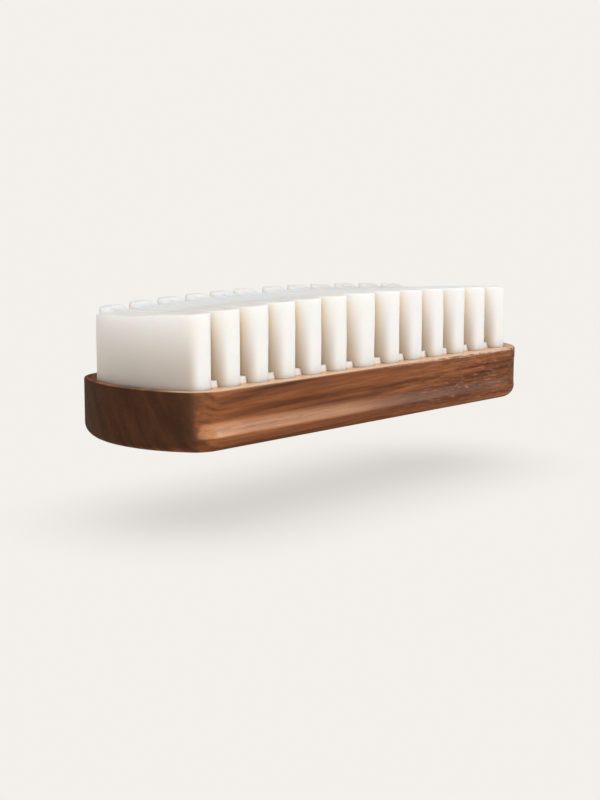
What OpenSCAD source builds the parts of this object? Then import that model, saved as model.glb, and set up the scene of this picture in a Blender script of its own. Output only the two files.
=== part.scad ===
// Crepe suede brush: one rubber ribbon, folded to and fro and bonded on edge into a wooden back.
// Millimetres. +X runs along the brush, +Z points out of the brushing face, and the flat back
// lies on Z = 0 with the origin at its middle.

/* [Wooden back] */
// Length over the two bowed ends
back_l = 125; // [104:1:150]
// Width over the two long sides
back_w = 40; // [33:0.5:48]
// Thickness of the block
back_h = 13; // [10.5:0.5:16]
// How far each end bows out beyond the long sides
end_bow = 8; // [6.5:0.1:9.8]
// Radius of the upright corners, where the long sides turn into the bowed ends
corner_r = 8.4; // [7:0.1:10.4]
// Radius of the edge round the flat back
edge_r = 3; // [1.5:0.1:3.6]
// Radius that eases the edge round the rim
rim_r = 0.5; // [0.3:0.1:0.8]

/* [Finger grooves] */
// Height of a groove's middle above the flat back
groove_z = 6.7; // [5.5:0.1:7]
// Height of a groove from lip to lip
groove_w = 5.8; // [4.6:0.1:7]
// Depth of a groove in the side
groove_d = 1.1; // [0.6:0.1:1.5]

/* [Crepe ribbon] */
// Thickness of the rubber
ribbon_t = 3.15; // [2.6:0.05:3.8]
// Least slot between two neighbouring runs; the folds share out what is left over
slot_min = 1; // [0.8:0.05:1.6]
// Height of the crown's highest point above the rim
ribbon_rise = 16.8; // [13:0.1:21]
// Place of that point along the brush
crown_x = -5; // [-8:0.5:8]
// How far the crown falls away from there over 50 mm of length
crown_fall = 1.15; // [0.5:0.05:2]
// What the loose fold in the middle is wider than the others
loose_extra = 2; // [0:0.1:2.6]
// Rim left between the long sides and the fronts of the folds
rim_side = 2.8; // [2.4:0.1:4]
// Rim left at the middle of each end, where the ribbon is centred
rim_end = 3.5; // [2.8:0.1:5]
// How far the ribbon was set off the middle of the back
ribbon_shift = -1.1; // [-1.5:0.1:1.5]
// How much less the end runs bow than the ends of the back do
bow_less = 4.7; // [4.2:0.1:5.2]
// Share of its outer neighbour's bow that each inner run keeps
bow_fade = 0.45; // [0.2:0.05:0.6]
// How far the ribbon's two free tips stop short of the +Y folds
tip_short = 5; // [4:0.5:12]

/* [Adhesive bed] */
// Depth of the recess that holds the ribbon's foot
recess_d = 3; // [2:0.1:4]
// Adhesive film under the ribbon's foot and round it
film_t = 0.3; // [0.25:0.05:0.4]
// How far the adhesive stays below the rim in front of the folds
fill_drop = 0.2; // [0.1:0.05:0.5]
// How far it stands above the rim in the slots
bed_rise = 1.3; // [0.5:0.1:2]
// How far that raised part stays back from the fronts of the folds
bed_setback = 2; // [1.5:0.1:2.8]

/* [Hidden] */
$fn = 96;
corner_fn = 48;
end_fn = 144;
edge_fn = 28;
rim_fn = 16;
fold_steps = 10;
run_steps = 8;
crown_steps = 18;
past = 1;

// Plan of the back: a large arc at each end, tangent inside to the arcs of its corners
end_r = (pow(end_bow, 2) + pow(back_w / 2, 2)) / (2 * end_bow);
end_x = back_l / 2 - end_r;
corner_y = back_w / 2 - corner_r;
corner_x = end_x + sqrt(pow(end_r - corner_r, 2) - pow(corner_y, 2));
corner_a = atan2(corner_y, corner_x - end_x);

// Radius of the groove, from its chord and depth
groove_r = (pow(groove_w / 2, 2) + pow(groove_d, 2)) / (2 * groove_d);

// Folds on the -Y side: as many as fit, an odd number, so that the loose one is in the middle
run_bow = end_bow - bow_less;
folded_l = back_l - 2 * rim_end - ribbon_t - 2 * run_bow - loose_extra;
folds_fit = (2 * folded_l / (ribbon_t + slot_min) + 2) / 4;
middle = floor((folds_fit - 1) / 2);
last = 2 * middle;

// Middle line of the ribbon: half circles of radius fold_r, joined by runs across the brush
fold_r = folded_l / (4 * last + 2);
loose_r = fold_r + loose_extra / 2;
front_y = back_w / 2 - rim_side - ribbon_t / 2;
turn_y = front_y - fold_r;

// Radius of fold i, the place of its middle, and that of the +Y fold that follows it
function radius(i) = i == middle ? loose_r : fold_r;
function near_x(i) = 4 * fold_r * (i - middle) + sign(i - middle) * loose_extra / 2;
function far_x(i) = (near_x(i) + radius(i) + near_x(i + 1) - radius(i + 1)) / 2;

// End run: an arc about a point on the X axis, tangent inside to the circle of the last fold
run_r = fold_r + (pow(run_bow, 2) + pow(turn_y, 2)) / (2 * run_bow);
run_x = near_x(last) + fold_r + run_bow - run_r;
run_a = atan2(turn_y, near_x(last) - run_x);
tip_a = asin((front_y - tip_short) / run_r);

// Levels of the recess and the ribbon's foot, and the crown, which is round across the brush
recess_z = back_h - recess_d;
foot_z = recess_z + film_t;
crown_z = back_h + ribbon_rise;
crown_reach = 50;
crown_r = (pow(crown_reach, 2) + pow(crown_fall, 2)) / (2 * crown_fall);

function arc(x, y, r, from, to, steps) =
    [for (k = [0:steps]) let (a = from + (to - from) * k / steps) [x + r * cos(a), y + r * sin(a)]];
function backwards(points) = [for (k = [len(points) - 1:-1:0]) points[k]];
function mirrored(points) = [for (p = points) [-p.x, p.y]];

// A run bows out to -X or +X, less with each run inwards, and leaves its folds without a kink
function bow(run) = run_bow * (pow(bow_fade, run + 1) - pow(bow_fade, 2 * last - run));
function run_line(x, bow, from_y, to_y) =
    [for (k = [1:run_steps - 1]) let (u = k / run_steps)
        [x - bow * pow(4 * u * (1 - u), 2), from_y + (to_y - from_y) * u]];

// The -Y fold i with the runs on either side of it, up to the +Y folds
function fold_line(i) = let (x = near_x(i), r = radius(i), y = r - front_y)
    concat(
        i == 0 ? [] : run_line(x - r, bow(2 * i - 1), turn_y, y),
        arc(x, y, r, i == 0 ? 180 + run_a : 180, i == last ? 360 - run_a : 360, fold_steps),
        i == last ? [] : run_line(x + r, bow(2 * i), y, turn_y),
        i == last ? [] : arc(far_x(i), turn_y, fold_r, 180, 0, fold_steps));

// The left end run, from its free tip to the point before the first fold
function end_line() =
    [for (k = [0:2 * run_steps - 1]) let (a = 180 - tip_a + (run_a + tip_a) * k / (2 * run_steps))
        [run_r * cos(a) - run_x, run_r * sin(a)]];

// The whole middle line, and the line that runs beside it at the distance d
function ribbon_line() =
    concat(end_line(), [for (i = [0:last]) each fold_line(i)], backwards(mirrored(end_line())));
function beside(line, d) =
    [for (k = [0:len(line) - 1])
        let (way = line[min(k + 1, len(line) - 1)] - line[max(k - 1, 0)])
        line[k] + d * [way.y, -way.x] / norm(way)];

// Outline of the crown seen from the side, from end to end and down to the ribbon's foot
function crown_a(x) = acos((x - crown_x) / crown_r);
function crown_line() = let (end = back_l / 2)
    concat(
        arc(crown_x, crown_z - crown_r, crown_r, crown_a(end), crown_a(-end), crown_steps),
        [[-end, foot_z], [end, foot_z]]);

// Outline of the folded ribbon seen from above
module ribbon_plan() {
    line = ribbon_line();
    translate([ribbon_shift, 0])
        polygon(concat(beside(line, ribbon_t / 2), backwards(beside(line, -ribbon_t / 2))));
}

// Outline that wraps the folded ribbon at the distance d from its outer faces
module wrap_plan(d) {
    half_t = ribbon_t / 2 + d;
    right = concat(
        arc(near_x(last), -turn_y, fold_r + half_t, -90, -run_a, fold_steps),
        arc(run_x, 0, run_r + half_t, -run_a, run_a, 2 * run_steps),
        arc(near_x(last), turn_y, fold_r + half_t, run_a, 90, fold_steps));
    translate([ribbon_shift, 0]) polygon(concat(right, backwards(mirrored(right))));
}

// Section of the back from its middle out to r, with the edges round the back and the rim
module half_section(r) {
    difference() {
        square([r, back_h]);
        translate([r - edge_r, 0]) difference() {
            square(edge_r);
            translate([0, edge_r]) circle(edge_r, $fn = edge_fn);
        }
        translate([r - rim_r, back_h - rim_r]) difference() {
            square(rim_r);
            circle(rim_r, $fn = rim_fn);
        }
    }
}

// The solid block, wrapped round its four corners and two bowed ends
module block() {
    hull() for (end = [0, 1]) mirror([end, 0, 0]) {
        for (side = [-1, 1]) translate([corner_x, side * corner_y, 0])
            rotate_extrude($fn = corner_fn) half_section(corner_r);
        translate([end_x, 0, 0]) rotate(-corner_a)
            rotate_extrude(angle = 2 * corner_a, $fn = end_fn) half_section(end_r);
    }
}

// Block of dark hardwood with a finger groove along each side and the recess for the ribbon
module wooden_back() {
    color("saddlebrown") difference() {
        block();
        for (side = [-1, 1])
            translate([0, side * (back_w / 2 + groove_r - groove_d), groove_z])
                rotate([0, 90, 0]) cylinder(r = groove_r, h = back_l, center = true);
        translate([0, 0, recess_z]) linear_extrude(recess_d + past) wrap_plan(film_t);
    }
}

// Cured adhesive: a film under the ribbon, a fill round its foot and a raised bed in the slots
module adhesive_bed() {
    color("antiquewhite") difference() {
        union() {
            translate([0, 0, recess_z]) linear_extrude(recess_d - fill_drop) wrap_plan(film_t);
            translate([0, 0, foot_z])
                linear_extrude(back_h + bed_rise - foot_z) wrap_plan(-bed_setback);
        }
        translate([0, 0, foot_z]) linear_extrude(ribbon_rise) ribbon_plan();
    }
}

// One strip of crepe rubber on edge, folded to and fro across the brush, its top cut to a crown
module crepe_ribbon() {
    color("ivory") intersection() {
        translate([0, 0, foot_z]) linear_extrude(crown_z - foot_z + past) ribbon_plan();
        rotate([90, 0, 0]) linear_extrude(back_w, center = true) polygon(crown_line());
    }
}

wooden_back();
adhesive_bed();
crepe_ribbon();
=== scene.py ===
import math

import bpy
import numpy as np
from mathutils import Matrix, Vector
from mathutils.kdtree import KDTree


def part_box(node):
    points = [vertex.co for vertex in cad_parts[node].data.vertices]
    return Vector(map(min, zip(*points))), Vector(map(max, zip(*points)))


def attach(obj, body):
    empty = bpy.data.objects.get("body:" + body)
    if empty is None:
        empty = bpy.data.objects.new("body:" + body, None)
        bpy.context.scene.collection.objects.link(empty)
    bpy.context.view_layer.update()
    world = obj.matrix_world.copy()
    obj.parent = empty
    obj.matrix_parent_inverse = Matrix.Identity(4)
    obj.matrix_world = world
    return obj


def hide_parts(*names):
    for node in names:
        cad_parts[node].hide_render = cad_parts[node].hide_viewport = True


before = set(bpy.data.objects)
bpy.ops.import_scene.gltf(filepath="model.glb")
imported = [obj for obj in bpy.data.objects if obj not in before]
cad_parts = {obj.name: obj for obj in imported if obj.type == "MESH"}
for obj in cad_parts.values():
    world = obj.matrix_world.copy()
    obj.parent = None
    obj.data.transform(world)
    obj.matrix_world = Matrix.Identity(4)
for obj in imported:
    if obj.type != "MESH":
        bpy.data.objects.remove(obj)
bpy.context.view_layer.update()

# Camera: it stands low off the brush's near left corner and looks along the fronts of the folds.
# The picture is 600 by 800 points, and the sensor's width belongs to the long side.
mm = 0.001
picture_h = 800
focal_points = 1474.9
camera_place = Vector((-259.0, -233.4, 57.3)) * mm
camera_turn = math.radians(-47.31)
camera_tilt = math.radians(8.83)
camera_roll = math.radians(0.11)

lens = bpy.data.cameras.new("camera")
lens.sensor_width = 36
lens.lens = focal_points * lens.sensor_width / picture_h
camera = bpy.data.objects.new("camera", lens)
camera.matrix_world = (
    Matrix.Translation(camera_place)
    @ Matrix.Rotation(camera_turn, 4, "Z")
    @ Matrix.Rotation(math.pi / 2 - camera_tilt, 4, "X")
    @ Matrix.Rotation(camera_roll, 4, "Z")
)
scene = bpy.context.scene
scene.collection.objects.link(camera)
scene.camera = camera
scene.view_settings.view_transform = "Standard"


# Studio: a pale seamless floor a little below the brush, which hangs over it as in the
# photograph, a wide cool key lamp to its right, and weak warm lamps before it and to its left.
def srgb(red, green, blue):
    """A colour as a screen shows it, 0 to 255, in Blender's linear numbers."""
    shares = [value / 255 for value in (red, green, blue)]
    linear = [s / 12.92 if s <= 0.04045 else ((s + 0.055) / 1.055) ** 2.4 for s in shares]
    return (*linear, 1)


def node(tree, kind, inputs=None, **properties):
    """A new node with its properties set and its inputs set or linked."""
    made = tree.nodes.new(kind)
    for name, value in properties.items():
        setattr(made, name, value)
    for key, value in (inputs or {}).items():
        if isinstance(value, bpy.types.NodeSocket):
            tree.links.new(value, made.inputs[key])
        else:
            made.inputs[key].default_value = value
    return made


def new_material(name):
    """An empty material, its tree and the node that its shader goes to."""
    made = bpy.data.materials.new(name)
    made.use_nodes = True
    made.node_tree.nodes.clear()
    return made, made.node_tree, made.node_tree.nodes.new("ShaderNodeOutputMaterial")


def sums(tree, operation, a, b=0.0, c=0.0):
    """The result of one maths node."""
    return node(tree, "ShaderNodeMath", {0: a, 1: b, 2: c}, operation=operation).outputs[0]


def spread(tree, value, low, high, to_low=0.0, to_high=1.0):
    """value stretched from low..high to to_low..to_high, smoothly at both ends."""
    made = node(tree, "ShaderNodeMapRange", {"Value": value, "From Min": low, "From Max": high,
                                             "To Min": to_low, "To Max": to_high},
                interpolation_type="SMOOTHSTEP")
    return made.outputs["Result"]


def mixed(tree, share, a, b, blend="MIX"):
    """Colour a mixed with colour b by share."""
    made = node(tree, "ShaderNodeMix", {0: share, 6: a, 7: b}, data_type="RGBA", blend_type=blend)
    return made.outputs[2]


backdrop_colour = srgb(243, 240, 235)
bounce_colour = srgb(246, 238, 226)
sky_colour = (0.99, 0.985, 0.98, 1)
sky_front = 0.6
sky_back = 0.42
sky_top = 0.6
mirrored_share = 0.15
floor_drop = 18 * mm
floor_half = 4.0
shadow_reach = 0.03
shadow_share = 0.42

# The sky is brightest overhead and in front. Glossy rays see it dim, like a studio's dark walls.
world = bpy.data.worlds.new("studio")
world.use_nodes = True
scene.world = world
sky = world.node_tree
sky.nodes.clear()
rays = node(sky, "ShaderNodeLightPath").outputs
way = node(sky, "ShaderNodeTexCoord").outputs["Generated"]
way = node(sky, "ShaderNodeSeparateXYZ", {0: way}).outputs
strength = spread(sky, way["Y"], -1.0, 1.0, sky_front, sky_back)
overhead = sums(sky, "POWER", sums(sky, "MAXIMUM", way["Z"], 0.0), 2.0)
strength = sums(sky, "MULTIPLY_ADD", overhead, sky_top, strength)
dimming = sums(sky, "MULTIPLY_ADD", rays["Is Glossy Ray"], mirrored_share - 1, 1.0)
light = node(sky, "ShaderNodeBackground", {"Color": sky_colour,
                                           "Strength": sums(sky, "MULTIPLY", strength, dimming)})
shown = node(sky, "ShaderNodeBackground", {"Color": backdrop_colour, "Strength": 1.0})
seen = sums(sky, "MAXIMUM", rays["Is Camera Ray"], rays["Is Transmission Ray"])
either = node(sky, "ShaderNodeMixShader", {0: seen, 1: light.outputs[0], 2: shown.outputs[0]})
node(sky, "ShaderNodeOutputWorld", {"Surface": either.outputs[0]})

# The floor sends back warm light. The camera sees it as bright as the backdrop, less the soft
# shadow where the brush shuts out the sky.
paper, tree, output = new_material("pale_paper")
rays = node(tree, "ShaderNodeLightPath").outputs
open_sky = node(tree, "ShaderNodeAmbientOcclusion", {"Distance": shadow_reach}).outputs["AO"]
kept = sums(tree, "MULTIPLY_ADD", open_sky, shadow_share, 1 - shadow_share)
lit = node(tree, "ShaderNodeEmission", {"Color": backdrop_colour, "Strength": kept})
dim = tuple(channel * mirrored_share for channel in bounce_colour[:3]) + (1,)
bounce = mixed(tree, rays["Is Glossy Ray"], bounce_colour, dim)
matt = node(tree, "ShaderNodeBsdfDiffuse", {"Color": bounce})
both = node(tree, "ShaderNodeMixShader", {0: rays["Is Camera Ray"], 1: matt.outputs[0],
                                          2: lit.outputs[0]})
tree.links.new(both.outputs[0], output.inputs["Surface"])

floor_mesh = bpy.data.meshes.new("floor")
floor_mesh.from_pydata([(x * floor_half, y * floor_half, -floor_drop)
                        for x, y in ((-1, -1), (1, -1), (1, 1), (-1, 1))], [], [(0, 1, 2, 3)])
floor_mesh.materials.append(paper)
floor = bpy.data.objects.new("floor", floor_mesh)
scene.collection.objects.link(floor)


def softbox(name, place, size, power, colour):
    """A square area lamp that faces the brush."""
    data = bpy.data.lights.new(name, "AREA")
    data.size = size
    data.energy = power
    data.color = colour
    lamp = bpy.data.objects.new(name, data)
    lamp.location = place
    lamp.rotation_euler = (-Vector(place)).to_track_quat("-Z", "Y").to_euler()
    scene.collection.objects.link(lamp)


softbox("key", (0.57, -0.76, 0.55), 0.45, 2.3, (0.82, 0.96, 1.12))
softbox("warm", (-0.25, -0.78, 0.66), 0.5, 0.7, (1.0, 0.84, 0.66))
softbox("fill", (-0.5, -0.62, 0.2), 0.5, 0.9, (1.0, 0.89, 0.75))


# Wooden back: a block of dark hardwood, moulded with rounded corners and bowed ends and oiled.
# A finger groove is milled along each side, and a recess in its top takes the rubber's foot.
edge_r = 3 * mm
rim_r = 0.5 * mm
end_bow = 8 * mm
corner_r = 8.4 * mm
groove_z = 6.7 * mm
groove_w = 5.8 * mm
groove_d = 1.1 * mm
lip_soft = 0.9 * mm
recess_d = 3 * mm
mouth_r = 0.25 * mm
mouth_ease = 0.07 * mm

# A groove fades out round a corner, while the outline's normal turns between these parts of X.
fade_from = 0.42
fade_to = 0.68

back_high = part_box("wooden_back")[1]
bed_low, bed_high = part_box("adhesive_bed")
rubber_low, rubber_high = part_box("crepe_ribbon")
half_l = back_high.x
half_w = back_high.y
back_h = back_high.z


def angles(start, end, count):
    """count angles from start to end, in radians, without the last one."""
    return np.linspace(start, end, count, endpoint=False)


def bowed_outline(half_length, half_width, bow, round_r, middle=0.0,
                  side_n=110, corner_n=14, end_n=44):
    """Points and outward normals round a plan with straight sides, round corners and bowed ends."""
    end_r = (bow**2 + half_width**2) / (2 * bow)
    end_x = half_length - end_r
    corner_y = half_width - round_r
    corner_x = end_x + math.sqrt((end_r - round_r) ** 2 - corner_y**2)
    turn = math.atan2(corner_y, corner_x - end_x)
    right = [(end_x, 0, end_r, a) for a in angles(-turn, turn, end_n)]
    right += [(corner_x, corner_y, round_r, a) for a in angles(turn, math.pi / 2, corner_n)]
    top = [(corner_x * (1 - 2 * k / side_n), corner_y, round_r, math.pi / 2) for k in range(side_n)]
    left = [(-corner_x, corner_y, round_r, a) for a in angles(math.pi / 2, math.pi - turn, corner_n)]
    half = [(x + r * math.cos(a), y + r * math.sin(a), a) for x, y, r, a in right + top + left]
    both = half + [(-x, -y, a + math.pi) for x, y, a in half]
    points = np.array([(x + middle, y) for x, y, a in both])
    normals = np.array([(math.cos(a), math.sin(a)) for x, y, a in both])
    return points, normals


def soft_least(a, b, soft):
    """The lesser of a and b, blended where they differ by less than soft."""
    share = np.clip(0.5 + 0.5 * (b - a) / soft, 0, 1)
    return b * (1 - share) + a * share - soft * share * (1 - share)


def ring_mesh(name, rings):
    """A closed mesh of rings of points, all of one length, with its first and last ring filled."""
    count = len(rings[0])
    faces = []
    for k in range(len(rings) - 1):
        for j in range(count):
            i = (j + 1) % count
            faces.append((k * count + j, k * count + i, (k + 1) * count + i, (k + 1) * count + j))
    faces.append(tuple(range(count - 1, -1, -1)))
    faces.append(tuple(range((len(rings) - 1) * count, len(rings) * count)))
    made = bpy.data.meshes.new(name)
    made.from_pydata([tuple(p) for p in np.vstack(rings)], [], faces)
    made.polygons.foreach_set("use_smooth", [True] * len(faces))
    return made


def new_piece(name, mesh):
    """An object at the origin for a mesh whose place is in its points."""
    piece = bpy.data.objects.new(name, mesh)
    scene.collection.objects.link(piece)
    return piece


outer, outward = bowed_outline(half_l, half_w, end_bow, corner_r)

# The recess wraps the folded ribbon at the thickness of the adhesive film: its corners are round
# about the outermost folds, and its ends follow the ribbon's end runs.
strip_t = 3.15 * mm
near_folds = 13
loose_extra = 2 * mm
run_bow = 3.3 * mm
film_t = 0.3 * mm
last = near_folds - 1
folded_l = rubber_high.x - rubber_low.x - strip_t - 2 * run_bow - loose_extra
fold_r = folded_l / (4 * last + 2)
front_y = rubber_high.y - strip_t / 2
turn_y = front_y - fold_r
run_r = fold_r + (run_bow**2 + turn_y**2) / (2 * run_bow)
recess_half_l = (bed_high.x - bed_low.x) / 2
recess_middle = (bed_high.x + bed_low.x) / 2
recess_end_r = run_r + strip_t / 2 + film_t
recess_bow = recess_end_r - math.sqrt(recess_end_r**2 - bed_high.y**2)
recess_r = fold_r + strip_t / 2 + film_t
recess, recess_normal = bowed_outline(recess_half_l, bed_high.y, recess_bow, recess_r,
                                      recess_middle)
groove_r = ((groove_w / 2) ** 2 + groove_d**2) / (2 * groove_d)
groove_share = 1 - np.clip((np.abs(outward[:, 0]) - fade_from) / (fade_to - fade_from), 0, 1) ** 2


def flat_ring(points, z):
    """Points of an outline at one height."""
    return np.column_stack([points, np.full(len(points), z)])


def side_ring(inset, z):
    """The block's outline drawn in by inset at the height z, with both grooves milled in."""
    reach = max(groove_r**2 - (z - groove_z) ** 2, 0)
    depth = -soft_least(0, groove_r - groove_d - math.sqrt(reach), lip_soft) * groove_share
    return flat_ring(outer - outward * (inset + depth)[:, None], z)


# The rings run from the flat back up the side, over the rim and down into the recess, whose mouth
# is eased. A ring close beside an edge keeps the shading of the face next to it even.
edge_turns = np.linspace(0, math.pi / 2, 10)
side_levels = np.linspace(edge_r, back_h - rim_r, 40)[1:]
rim_turns = np.linspace(0, math.pi / 2, 6)[1:]
recess_z = back_h - recess_d
rings = [side_ring(edge_r + inset, 0.0) for inset in (6 * mm, 0.6 * mm)]
rings += [side_ring(edge_r * (1 - math.sin(a)), edge_r * (1 - math.cos(a))) for a in edge_turns]
rings += [side_ring(0, z) for z in side_levels]
rings += [side_ring(rim_r * (1 - math.cos(a)), back_h - rim_r * (1 - math.sin(a)))
          for a in rim_turns]
rim = rings[-1][:, :2]
rings += [flat_ring(rim + (recess - rim) * share, back_h) for share in (0.1, 0.5, 0.85)]
rings += [flat_ring(recess + recess_normal * mouth_r, back_h),
          flat_ring(recess + recess_normal * mouth_ease, back_h - mouth_ease),
          flat_ring(recess, back_h - mouth_r),
          flat_ring(recess, recess_z + 0.1 * mm),
          flat_ring(recess, recess_z),
          flat_ring(recess - recess_normal * 0.5 * mm, recess_z)]
block = new_piece("hardwood_block", ring_mesh("hardwood_block", rings))
block.data.set_sharp_from_angle(angle=math.radians(50))


def ramp(tree, factor, stops, interpolation="LINEAR"):
    """A colour ramp through (place, colour) stops, read at factor."""
    made = node(tree, "ShaderNodeValToRGB", {"Fac": factor})
    made.color_ramp.interpolation = interpolation
    elements = made.color_ramp.elements
    while len(elements) < len(stops):
        elements.new(0.5)
    for element, (place, colour) in zip(elements, stops):
        element.position = place
        element.color = colour
    return made.outputs["Color"]


def noise(tree, vector, scale, detail=3.0, roughness=0.5, distortion=0.0):
    """A noise value over vector."""
    made = node(tree, "ShaderNodeTexNoise", {"Vector": vector, "Scale": scale, "Detail": detail,
                                             "Roughness": roughness, "Distortion": distortion})
    return made.outputs["Fac"]


def grain_space(tree, stretch, turn=(0, 0, 0), shift=(0, 0, 0)):
    """Object coordinates in millimetres, turned, squeezed along the grain and then shifted."""
    where = node(tree, "ShaderNodeTexCoord")
    turned = node(tree, "ShaderNodeMapping", {"Vector": where.outputs["Object"], "Rotation": turn})
    made = node(tree, "ShaderNodeMapping", {"Vector": turned.outputs[0], "Location": shift,
                                            "Scale": [s / mm for s in stretch]})
    return made.outputs[0], where


def hardwood():
    """Dark open-grained hardwood, oiled: rings that slope across the block, fibres and pores."""
    made, tree, output = new_material("oiled_hardwood")
    ring_turn = (math.radians(-66), math.radians(1.0), math.radians(-1.5))
    rings_at, where = grain_space(tree, (0.014, 0.05, 0.42), ring_turn, (0, 0, 1.62))
    fibres_at, _ = grain_space(tree, (0.035, 1.0, 1.0), (0, math.radians(1.2), 0))
    flecks_at, _ = grain_space(tree, (0.35, 2.4, 2.4))
    facing = node(tree, "ShaderNodeSeparateXYZ", {0: where.outputs["Normal"]}).outputs
    place = node(tree, "ShaderNodeSeparateXYZ", {0: where.outputs["Object"]}).outputs
    right = spread(tree, place["X"], -10 * mm, 35 * mm)

    bands = noise(tree, rings_at, 1.0, detail=3, roughness=0.55, distortion=0.6)
    fibres = noise(tree, fibres_at, 1.1, detail=6, roughness=0.68, distortion=0.3)
    fine = noise(tree, fibres_at, 5.0, detail=4, roughness=0.7)
    flecks = noise(tree, flecks_at, 1.0, detail=3, roughness=0.65)
    pores = spread(tree, flecks, 0.56, 0.7)
    silver = sums(tree, "MULTIPLY", spread(tree, flecks, 0.46, 0.34), right)

    # Rings and fibres give the tone. The grain opens towards the right: more contrast, darker
    # streaks and pores, and silvery flecks.
    middle_tone = 0.61
    tone = sums(tree, "MULTIPLY_ADD", fibres, 0.5, sums(tree, "MULTIPLY", bands, 0.75))
    contrast = sums(tree, "MULTIPLY_ADD", right, 0.35, 0.65)
    tone = sums(tree, "MULTIPLY_ADD", sums(tree, "SUBTRACT", tone, middle_tone), contrast,
                middle_tone)
    colour = ramp(tree, tone, [(0.45, srgb(58, 28, 17)), (0.55, srgb(106, 56, 33)),
                               (0.63, srgb(146, 84, 49)), (0.72, srgb(180, 110, 66)),
                               (0.82, srgb(206, 138, 90))])
    streaks = sums(tree, "MULTIPLY", spread(tree, fine, 0.42, 0.62),
                   sums(tree, "MULTIPLY_ADD", right, 0.42, 0.2))
    colour = mixed(tree, streaks, colour, srgb(84, 41, 24))
    dark_pores = sums(tree, "MULTIPLY", pores, sums(tree, "MULTIPLY_ADD", right, 0.35, 0.3))
    colour = mixed(tree, dark_pores, colour, srgb(54, 27, 18))
    colour = mixed(tree, sums(tree, "MULTIPLY", silver, 0.6), colour, srgb(176, 132, 110))

    # The ends show end grain, which soaks up more oil and is darker.
    end_grain = spread(tree, sums(tree, "ABSOLUTE", facing["X"]), 0.3, 0.85)
    dark_end = mixed(tree, 0.4, mixed(tree, 1.0, colour, srgb(146, 142, 142), "MULTIPLY"),
                     srgb(66, 33, 20))
    colour = mixed(tree, end_grain, colour, dark_end)

    # Painted highlight: the lower slopes of the grooves, which face up towards the key lamp, are
    # painted pale in the left half, most of all where the grooves run out, in place of the lamp's
    # sheen there.
    groove_highlight = sums(tree, "MULTIPLY", spread(tree, facing["Z"], 0.03, 0.25),
                  spread(tree, place["Z"], groove_z + 1 * mm, groove_z))
    groove_highlight = sums(tree, "MULTIPLY", groove_highlight, spread(tree, place["X"], 6 * mm, -14 * mm, 0.0, 0.3))
    groove_highlight = sums(tree, "MULTIPLY", groove_highlight, spread(tree, place["X"], -42 * mm, -48 * mm, 1.0, 1.8))
    groove_highlight = sums(tree, "MULTIPLY", groove_highlight, spread(tree, fibres, 0.3, 0.65, 0.6, 1.3))
    colour = mixed(tree, groove_highlight, colour, srgb(222, 156, 112))

    # On the near side the rim's top is painted pale: partly bare sanded wood with a haze of glue,
    # partly a painted sheen for the white folds mirrored in it.
    bare_rim_and_sheen = sums(tree, "MULTIPLY", spread(tree, facing["Z"], 0.5, 0.9),
                spread(tree, place["Y"], -0.45 * half_w, -0.82 * half_w))
    colour = mixed(tree, sums(tree, "MULTIPLY", bare_rim_and_sheen, 0.92), colour, srgb(243, 200, 162))

    # The near upper edge is chipped, more so towards the right.
    edge = sums(tree, "MULTIPLY", spread(tree, place["Z"], back_h - 0.9 * mm, back_h - 0.3 * mm),
                spread(tree, facing["Z"], 0.97, 0.8))
    edge = sums(tree, "MULTIPLY", edge, spread(tree, place["Y"], -4 * mm, -10 * mm))
    chips = sums(tree, "MULTIPLY", spread(tree, flecks, 0.47, 0.53), right)
    chips = sums(tree, "MULTIPLY", edge, chips)
    colour = mixed(tree, sums(tree, "MULTIPLY", chips, 0.85), colour, srgb(232, 208, 192))

    height = sums(tree, "MULTIPLY_ADD", pores, -1.0, sums(tree, "MULTIPLY", fine, 0.5))
    bump = node(tree, "ShaderNodeBump", {"Height": height, "Strength": 0.22,
                                         "Distance": 0.12 * mm})
    roughness = spread(tree, fibres, 0.3, 0.7, 0.38, 0.28)
    shader = node(tree, "ShaderNodeBsdfPrincipled", {
        "Base Color": colour, "Roughness": roughness, "Normal": bump.outputs[0],
        "IOR": 1.72, "Specular IOR Level": 1.0, "Specular Tint": srgb(255, 214, 176)})
    tree.links.new(shader.outputs[0], output.inputs["Surface"])
    return made


block.data.materials.append(hardwood())
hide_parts("wooden_back")
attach(block, "root")


# Crepe ribbon: one strip of white crepe rubber on edge, folded to and fro across the brush. Its
# middle line is worked out as the maker lays it, and a node tree sweeps the strip along it.
bow_fade = 0.45
tight_r = 1.65 * mm
tip_short = 5 * mm
crown_x = -5 * mm
crown_r = 1087 * mm
foot_z = rubber_low.z
crown_z = rubber_high.z
middle_fold = last // 2
ribbon_x = (rubber_low.x + rubber_high.x) / 2

# How far each far fold was laid to the left of the middle between its two near folds, by hand.
left_drift = [2.1, 2.1, 2.1, 2.3, 2.8, 3.7, 4.2, 3.9, 3.9, 3.4, 2.4, 1.6]


def fold_x(i):
    """Place of the middle of near fold i."""
    return 4 * fold_r * (i - middle_fold) + np.sign(i - middle_fold) * loose_extra / 2


def near_r(i):
    """Radius of near fold i: the one in the middle was laid looser."""
    return fold_r + (loose_extra / 2 if i == middle_fold else 0)


def far_x(i):
    """Place of the middle of far fold i, which follows near fold i."""
    halfway = (fold_x(i) + near_r(i) + fold_x(i + 1) - near_r(i + 1)) / 2
    return halfway - left_drift[i] * mm


run_x = fold_x(last) + fold_r + run_bow - run_r
run_a = math.atan2(turn_y, fold_x(last) - run_x)
tip_a = math.asin((front_y - tip_short) / run_r)


def arc(x, y, radius, start, end, steps, bend=0.0):
    """Points along an arc about (x, y), both ends included, each with its share of the bend."""
    return [(x + radius * math.cos(start + (end - start) * u),
             y + radius * math.sin(start + (end - start) * u), bend * math.sin(math.pi * u))
            for u in np.linspace(0, 1, steps + 1)]


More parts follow.
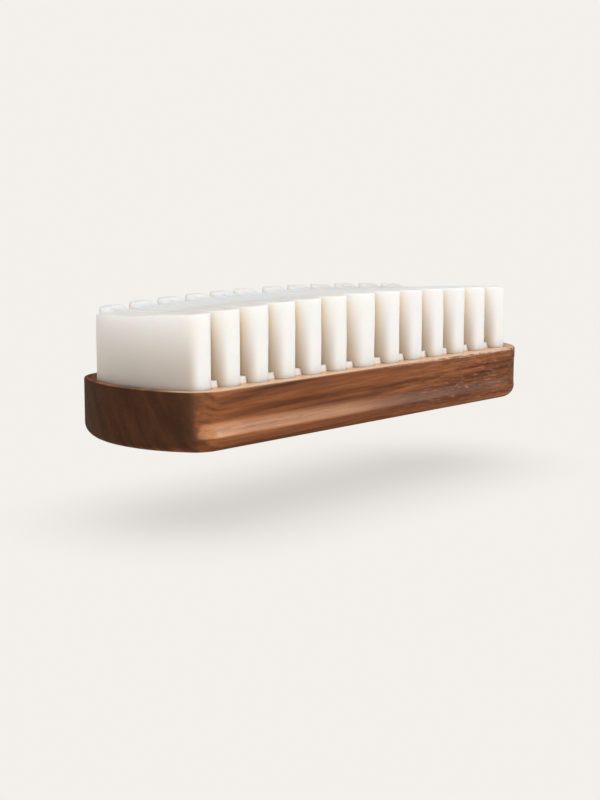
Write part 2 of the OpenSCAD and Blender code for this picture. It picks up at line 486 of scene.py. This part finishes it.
def run(start_x, end_x, bow, start_y, end_y, steps=24):
    """Points between two folds along a run that drifts sideways and bows out by bow."""
    return [(start_x + (end_x - start_x) * u * u * (3 - 2 * u) - bow * (4 * u * (1 - u)) ** 2,
             start_y + (end_y - start_y) * u, 0.0)
            for u in np.linspace(0, 1, steps + 1)[1:-1]]


def bow_of(k):
    """How far run k bows out to -X: less with each run inwards, and to +X in the right half."""
    return run_bow * (bow_fade ** (k + 1) - bow_fade ** (2 * last - k))


def ribbon_line(turn_n=18, near_bend=0.25, far_bend=-1.0):
    """The middle line of the whole strip, from its left tip to its right tip, with its bend.

    The bend's size is how much of the taper a fold takes. Its sign is the side of the strip that
    the fold's outer face is on.
    """
    left_end = arc(-run_x, 0, run_r, math.pi - tip_a, math.pi + run_a, 30)[:-1]
    line = list(left_end)
    far_y = front_y - tight_r
    for i in range(near_folds):
        radius = near_r(i)
        x, y = fold_x(i), radius - front_y
        if i > 0:
            line += run(far_x(i - 1) + tight_r, x - radius, bow_of(2 * i - 1), far_y, y)
        first = math.pi + (run_a if i == 0 else 0)
        final = 2 * math.pi - (run_a if i == last else 0)
        line += arc(x, y, radius, first, final, turn_n, near_bend)
        if i < last:
            line += run(x + radius, far_x(i) - tight_r, bow_of(2 * i), y, far_y)
            line += arc(far_x(i), far_y, tight_r, math.pi, 0, turn_n, far_bend)
    line += [(-x, y, bend) for x, y, bend in reversed(left_end)]
    return [(x + ribbon_x, y, bend) for x, y, bend in line]


def strip_tree():
    """A node tree that sweeps a soft-edged strip, cut to a crown, along a line on the XY plane."""
    around = 20
    face_length = 1.2 * mm
    lean_scale = 95.0
    seed_step = 7.3
    crisp_angle = 0.9

    tree = bpy.data.node_groups.new("folded strip", "GeometryNodeTree")
    sockets = tree.interface
    sockets.new_socket("Line", in_out="INPUT", socket_type="NodeSocketGeometry")
    for name in ("Thickness", "Foot", "Top", "Softness", "Crown Place", "Crown Radius", "Waver",
                 "Wear", "Sag", "Taper", "Half Width", "Half Length"):
        sockets.new_socket(name, in_out="INPUT", socket_type="NodeSocketFloat")
    sockets.new_socket("Seed", in_out="INPUT", socket_type="NodeSocketInt")
    sockets.new_socket("Rubber", in_out="INPUT", socket_type="NodeSocketMaterial")
    sockets.new_socket("Strip", in_out="OUTPUT", socket_type="NodeSocketGeometry")
    given = tree.nodes.new("NodeGroupInput").outputs

    def vector(x, y, z):
        """A vector of three numbers."""
        return node(tree, "ShaderNodeCombineXYZ", {0: x, 1: y, 2: z}).outputs[0]

    def vectors(operation, a, b):
        """The result of one vector maths node."""
        key = "Scale" if operation == "SCALE" else 1
        made = node(tree, "ShaderNodeVectorMath", {0: a, key: b}, operation=operation)
        return made.outputs["Value" if operation == "DISTANCE" else "Vector"]

    # The profile is a small ring, moved apart to the strip's four corners. Its Y points down once
    # it is swept, and its long sides are cut into short faces.
    ring = node(tree, "GeometryNodeCurvePrimitiveCircle", {"Resolution": around,
                                                           "Radius": given["Softness"]})
    ring = node(tree, "GeometryNodeTransform", {"Geometry": ring.outputs[0],
                                                "Rotation": (0, 0, math.pi / around)})
    here = node(tree, "GeometryNodeInputPosition").outputs[0]
    height = sums(tree, "SUBTRACT", given["Top"], given["Foot"])
    half_flat = sums(tree, "SUBTRACT", sums(tree, "MULTIPLY", given["Thickness"], 0.5),
                     given["Softness"])
    half_tall = sums(tree, "SUBTRACT", sums(tree, "MULTIPLY", height, 0.5), given["Softness"])
    middle = sums(tree, "MULTIPLY_ADD", height, 0.5, given["Foot"])
    apart = vectors("MULTIPLY", vectors("SIGN", here, (0, 0, 0)), vector(half_flat, half_tall, 0))
    upright = vector(0, sums(tree, "MULTIPLY", middle, -1.0), 0)
    profile = node(tree, "GeometryNodeSetPosition", {
        "Geometry": ring.outputs[0], "Offset": vectors("ADD", apart, upright)})
    index = node(tree, "GeometryNodeInputIndex").outputs[0]
    following = sums(tree, "MODULO", sums(tree, "ADD", index, 1.0), float(around))
    next_at = node(tree, "GeometryNodeFieldAtIndex", {"Index": following, "Value": here},
                   data_type="FLOAT_VECTOR", domain="POINT")
    gap = vectors("DISTANCE", here, next_at.outputs[0])
    cuts = sums(tree, "FLOOR", sums(tree, "DIVIDE", gap, face_length))
    profile = node(tree, "GeometryNodeSubdivideCurve", {"Curve": profile.outputs[0], "Cuts": cuts})
    across = node(tree, "ShaderNodeSeparateXYZ", {0: here}).outputs["X"]
    side = sums(tree, "DIVIDE", across, sums(tree, "MULTIPLY", given["Thickness"], 0.5))
    profile = node(tree, "GeometryNodeStoreNamedAttribute", {
        "Geometry": profile.outputs[0], "Name": "side", "Value": side}, data_type="FLOAT")

    # The line brings its bend as a height, which is stored and then taken off before the sweep.
    bend = node(tree, "ShaderNodeSeparateXYZ", {0: here}).outputs["Z"]
    line = node(tree, "GeometryNodeStoreNamedAttribute", {
        "Geometry": given["Line"], "Name": "bend", "Value": bend}, data_type="FLOAT")
    line = node(tree, "GeometryNodeSetPosition", {
        "Geometry": line.outputs[0], "Offset": vector(0, 0, sums(tree, "MULTIPLY", bend, -1.0))})
    level = node(tree, "GeometryNodeSetCurveNormal", {"Curve": line.outputs[0]}, mode="Z_UP")
    swept = node(tree, "GeometryNodeCurveToMesh", {"Curve": level.outputs[0],
                                                   "Profile Curve": profile.outputs[0],
                                                   "Fill Caps": True})

    # The crown's fall, the wear and the lean grow from nothing at the foot to all at the top. The
    # far half is worn, most of all at its ends, and the top sags between the two rows of folds.
    parts = node(tree, "ShaderNodeSeparateXYZ", {0: here}).outputs
    up = sums(tree, "DIVIDE", sums(tree, "SUBTRACT", parts["Z"], given["Foot"]), height)
    out = sums(tree, "SUBTRACT", parts["X"], given["Crown Place"])
    drop = sums(tree, "DIVIDE", sums(tree, "MULTIPLY", out, out),
                sums(tree, "MULTIPLY", given["Crown Radius"], 2.0))
    seed = sums(tree, "MULTIPLY", given["Seed"], seed_step)
    lean = node(tree, "ShaderNodeTexNoise", {"Vector": here, "W": seed, "Scale": lean_scale,
                                             "Detail": 1.0}, noise_dimensions="4D").outputs["Color"]
    lean = vectors("SCALE", vectors("SUBTRACT", lean, (0.5, 0.5, 0.5)),
                   sums(tree, "MULTIPLY", given["Waver"], sums(tree, "MULTIPLY", up, 2.0)))
    lean = vectors("MULTIPLY", lean, (1, 1, 0.6))
    over = sums(tree, "DIVIDE", parts["Y"], given["Half Width"])
    end = sums(tree, "POWER", sums(tree, "DIVIDE", out, given["Half Length"]), 2.0)
    worn = sums(tree, "MULTIPLY", given["Wear"], sums(tree, "MAXIMUM", over, 0.0))
    worn = sums(tree, "MULTIPLY", worn, sums(tree, "MULTIPLY_ADD", end, 0.7, 0.3))
    between = sums(tree, "SUBTRACT", spread(tree, over, -0.7, 0.2), spread(tree, over, 0.71, 0.86))
    worn = sums(tree, "MULTIPLY_ADD", given["Sag"], between, worn)
    fall = vector(0, 0, sums(tree, "MULTIPLY", sums(tree, "ADD", drop, worn),
                             sums(tree, "MULTIPLY", up, -1.0)))

    # The outer faces of the folds draw in towards the top.
    bend, side = (node(tree, "GeometryNodeInputNamedAttribute", {"Name": name},
                       data_type="FLOAT").outputs["Attribute"] for name in ("bend", "side"))
    outer_face = sums(tree, "MAXIMUM", sums(tree, "MULTIPLY", bend, side), 0.0)
    taper = sums(tree, "MULTIPLY", sums(tree, "MULTIPLY", given["Taper"], outer_face),
                 spread(tree, up, 0.72, 1.0, 0.0, -1.0))
    outwards = vectors("MULTIPLY", node(tree, "GeometryNodeInputNormal").outputs[0], (1, 1, 0))
    moved = vectors("ADD", vectors("ADD", fall, lean), vectors("SCALE", outwards, taper))
    shaped = node(tree, "GeometryNodeSetPosition", {"Geometry": swept.outputs[0], "Offset": moved})
    angle = node(tree, "GeometryNodeInputMeshEdgeAngle").outputs[0]
    smooth = node(tree, "GeometryNodeSetShadeSmooth", {
        "Geometry": shaped.outputs[0], "Shade Smooth": sums(tree, "LESS_THAN", angle, crisp_angle)},
        domain="EDGE")
    real = node(tree, "GeometryNodeRealizeInstances", {0: smooth.outputs[0]})
    coated = node(tree, "GeometryNodeSetMaterial", {"Geometry": real.outputs[0],
                                                    "Material": given["Rubber"]})
    node(tree, "NodeGroupOutput", {0: coated.outputs[0]})
    return tree


def swept_strip(name, tree, line, values):
    """The plain mesh that tree makes along line with these values for its inputs."""
    path = bpy.data.curves.new(name, "CURVE")
    path.dimensions = "3D"
    spline = path.splines.new("POLY")
    spline.points.add(len(line) - 1)
    for point, place in zip(spline.points, line):
        point.co = (*place, 1)
    maker = bpy.data.objects.new(name + "_line", path)
    scene.collection.objects.link(maker)
    modifier = maker.modifiers.new("strip", "NODES")
    modifier.node_group = tree
    for item in tree.interface.items_tree:
        if item.in_out == "INPUT" and item.name in values:
            modifier[item.identifier] = values[item.name]
    evaluated = maker.evaluated_get(bpy.context.evaluated_depsgraph_get())
    mesh = bpy.data.meshes.new_from_object(evaluated)
    mesh.name = name
    maker.modifiers.clear()
    bpy.data.objects.remove(maker)
    return mesh


def crepe_rubber():
    """White crepe rubber: matt, slightly translucent, with painted shade down the outer face of its
    left end, on its cut top and in its slots.
    """
    made, tree, output = new_material("white_crepe_rubber")
    place, where = grain_space(tree, (1, 1, 1))
    facing = node(tree, "ShaderNodeSeparateXYZ", {0: where.outputs["Normal"]}).outputs
    parts = node(tree, "ShaderNodeSeparateXYZ", {0: where.outputs["Object"]}).outputs
    clouds = noise(tree, place, 0.16, detail=3, roughness=0.55)
    skin = noise(tree, place, 1.1, detail=4, roughness=0.6)
    colour = mixed(tree, clouds, srgb(250, 250, 252), srgb(247, 246, 248))

    # Painted shade: the left end's outer face, which the lamps leave in shade, is painted greyer
    # towards the foot, least on the far side.
    end_shade = sums(tree, "MULTIPLY", spread(tree, facing["X"], -0.3, -0.9),
                spread(tree, parts["Z"], 1.02 * crown_z, 0.45 * crown_z))
    end_shade_tint = mixed(tree, spread(tree, parts["Y"], -4 * mm, 16 * mm), srgb(204, 198, 189),
                   srgb(228, 223, 214))
    colour = mixed(tree, end_shade, colour, mixed(tree, 1.0, colour, end_shade_tint, "MULTIPLY"))

    # Painted shade: the cut top is painted a little darker, most of all at its near left and far
    # right corners.
    corner = sums(tree, "MULTIPLY", parts["X"], parts["Y"])
    cut_top = spread(tree, facing["Z"], 0.4, 0.9)
    top_shade = spread(tree, corner, -0.1 * half_l * half_w, 0.25 * half_l * half_w)
    tint = mixed(tree, top_shade, srgb(255, 250, 244), srgb(240, 233, 226))
    colour = mixed(tree, cut_top, colour, mixed(tree, 1.0, colour, tint, "MULTIPLY"))

    # Painted shade: down in the slots, where ambient occlusion finds the rubber shut in, it is
    # painted a little yellower and darker, for the warm light bounced between the folds.
    open_share = node(tree, "ShaderNodeAmbientOcclusion", {"Distance": 4 * mm}).outputs["AO"]
    slot = mixed(tree, 1.0, colour, srgb(255, 242, 222), "MULTIPLY")
    colour = mixed(tree, spread(tree, open_share, 0.2, 0.95), slot, colour)
    bump = node(tree, "ShaderNodeBump", {"Height": skin, "Strength": 0.12, "Distance": 0.1 * mm})
    shader = node(tree, "ShaderNodeBsdfPrincipled", {
        "Base Color": colour, "Roughness": 0.5, "Normal": bump.outputs[0], "IOR": 1.5,
        "Subsurface Weight": 0.95, "Subsurface Scale": 4.5 * mm,
        "Subsurface Radius": (1.0, 0.72, 0.5), "Specular IOR Level": 0.4})
    tree.links.new(shader.outputs[0], output.inputs["Surface"])
    return made


folding = strip_tree()
centre_line = ribbon_line()
rubber = crepe_rubber()
strip_values = {
    "Thickness": strip_t, "Foot": foot_z, "Top": crown_z - 0.1 * mm, "Softness": 0.5 * mm,
    "Crown Place": crown_x, "Crown Radius": crown_r, "Waver": 0.3 * mm, "Wear": 1.0 * mm,
    "Sag": 0.9 * mm, "Taper": 0.35 * mm, "Half Width": rubber_high.y, "Half Length": rubber_high.x,
    "Seed": 4, "Rubber": rubber}
ribbon = new_piece("folded_ribbon",
                   swept_strip("folded_ribbon", folding, centre_line, strip_values))
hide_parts("crepe_ribbon")
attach(ribbon, "root")


# Adhesive bed: pale glue poured into the recess before the ribbon is pressed in. It stays low in
# front of the folds, stands up in the slots between them and climbs a little at the rubber.
fill_drop = 0.2 * mm
bed_rise = 1.3 * mm
bed_setback = 2 * mm
ledge_soft = 0.35 * mm
climb = 0.12 * mm
climb_reach = 0.3 * mm
ripple = 0.1 * mm
ripple_along = 1900
ripple_across = 700
spine_left = -50 * mm
spine_right = 48 * mm
line_step = 0.15 * mm


def nearest(points, targets):
    """How far each point is from the nearest of the targets, in plan."""
    tree = KDTree(len(targets))
    for k, (x, y) in enumerate(targets):
        tree.insert((x, y, 0), k)
    tree.balance()
    return np.array([tree.find((x, y, 0))[2] for x, y in points])


def finer(line, step, closed=False):
    """The same line with points no further than step apart."""
    points = [np.array(p) for p in line]
    if closed:
        points.append(points[0])
    made = []
    for a, b in zip(points, points[1:]):
        count = max(1, math.ceil(np.linalg.norm(b - a) / step))
        made += [a + (b - a) * k / count for k in range(count)]
    return made + [points[-1]]


bed_out = bowed_outline(recess_half_l, bed_high.y, recess_bow, recess_r, recess_middle,
                        side_n=230, corner_n=16, end_n=70)[0]

# Rings of points run from the recess's wall in to its spine, closest where the bed steps up.
spine_x = np.clip(bed_out[:, 0], spine_left, spine_right)
spine = np.column_stack([spine_x, np.zeros(len(bed_out))])
shares = np.concatenate([[0, 0.006], np.linspace(0.02, 0.105, 6), np.linspace(0.113, 0.145, 9),
                         np.linspace(0.16, 0.97, 36)])
plan = np.vstack([bed_out + (spine - bed_out) * share for share in shares])
to_wall = nearest(plan, finer(bed_out, line_step, closed=True))
to_strip = nearest(plan, finer([place[:2] for place in centre_line], line_step)) - strip_t / 2
raised = np.clip((to_wall - bed_setback) / ledge_soft, 0, 1)
raised = raised * raised * (3 - 2 * raised)
wobble = ripple * np.sin(plan[:, 0] * ripple_along + 3 * np.sin(plan[:, 1] * ripple_across))
top_z = back_h - fill_drop + (bed_rise + fill_drop + wobble) * raised
top_z += climb * np.exp(-np.clip(to_strip, 0, None) / climb_reach)
count = len(bed_out)
tops = [np.column_stack([plan[k * count:(k + 1) * count], top_z[k * count:(k + 1) * count]])
        for k in range(len(shares))]
bed_rings = [flat_ring(bed_out + (spine - bed_out) * shares[-1], recess_z),
             flat_ring(bed_out, recess_z), *tops]
glue = new_piece("adhesive_bed_fill", ring_mesh("adhesive_bed_fill", bed_rings))

# The ribbon's foot leaves its own slot in the glue: a plain strip along the same line cuts it.
plain_values = {**strip_values, "Softness": 0.02 * mm, "Waver": 0.0, "Wear": 0.0, "Sag": 0.0,
                "Taper": 0.0}
cutter = new_piece("strip_cutter",
                   swept_strip("strip_cutter", folding, centre_line, plain_values))
cut = glue.modifiers.new("strip", "BOOLEAN")
cut.operation = "DIFFERENCE"
cut.solver = "MANIFOLD"
cut.object = cutter
cut_mesh = bpy.data.meshes.new_from_object(
    glue.evaluated_get(bpy.context.evaluated_depsgraph_get()))
glue.modifiers.clear()
glue.data = cut_mesh
bpy.data.objects.remove(cutter)


def adhesive():
    """Pale cured glue, milky where it is thick and tinted by the wood where it is thin, with painted
    contact shade where the thin glue is shut in.
    """
    made, tree, output = new_material("pale_adhesive")
    place, where = grain_space(tree, (1, 1, 1))
    parts = node(tree, "ShaderNodeSeparateXYZ", {0: where.outputs["Object"]}).outputs
    thick = spread(tree, parts["Z"], back_h - 0.15 * mm, back_h + 0.25 * mm)
    clouds = noise(tree, place, 0.5, detail=3)
    milky = mixed(tree, clouds, srgb(250, 247, 244), srgb(244, 236, 230))
    near = spread(tree, parts["Y"], -6 * mm, -15 * mm)
    # Painted shade: where ambient occlusion finds the thin glue shut in, at the feet of the folds,
    # it is painted darker orange.
    open_share = node(tree, "ShaderNodeAmbientOcclusion", {"Distance": 1.6 * mm}).outputs["AO"]
    thin_with_contact_shade = mixed(tree, spread(tree, open_share, 0.35, 0.8), srgb(184, 112, 70),
                  srgb(243, 196, 156))
    thin = mixed(tree, near, srgb(128, 82, 58), thin_with_contact_shade)
    colour = mixed(tree, thick, thin, milky)
    bump = node(tree, "ShaderNodeBump", {"Height": clouds, "Strength": 0.3, "Distance": 0.3 * mm})
    shader = node(tree, "ShaderNodeBsdfPrincipled", {
        "Base Color": colour, "Roughness": 0.35, "Normal": bump.outputs[0],
        "Subsurface Weight": 0.5, "Subsurface Scale": 1.0 * mm,
        "Subsurface Radius": (1.0, 0.8, 0.6)})
    tree.links.new(shader.outputs[0], output.inputs["Surface"])
    return made


glue.data.materials.clear()
glue.data.materials.append(adhesive())
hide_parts("adhesive_bed")
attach(glue, "root")
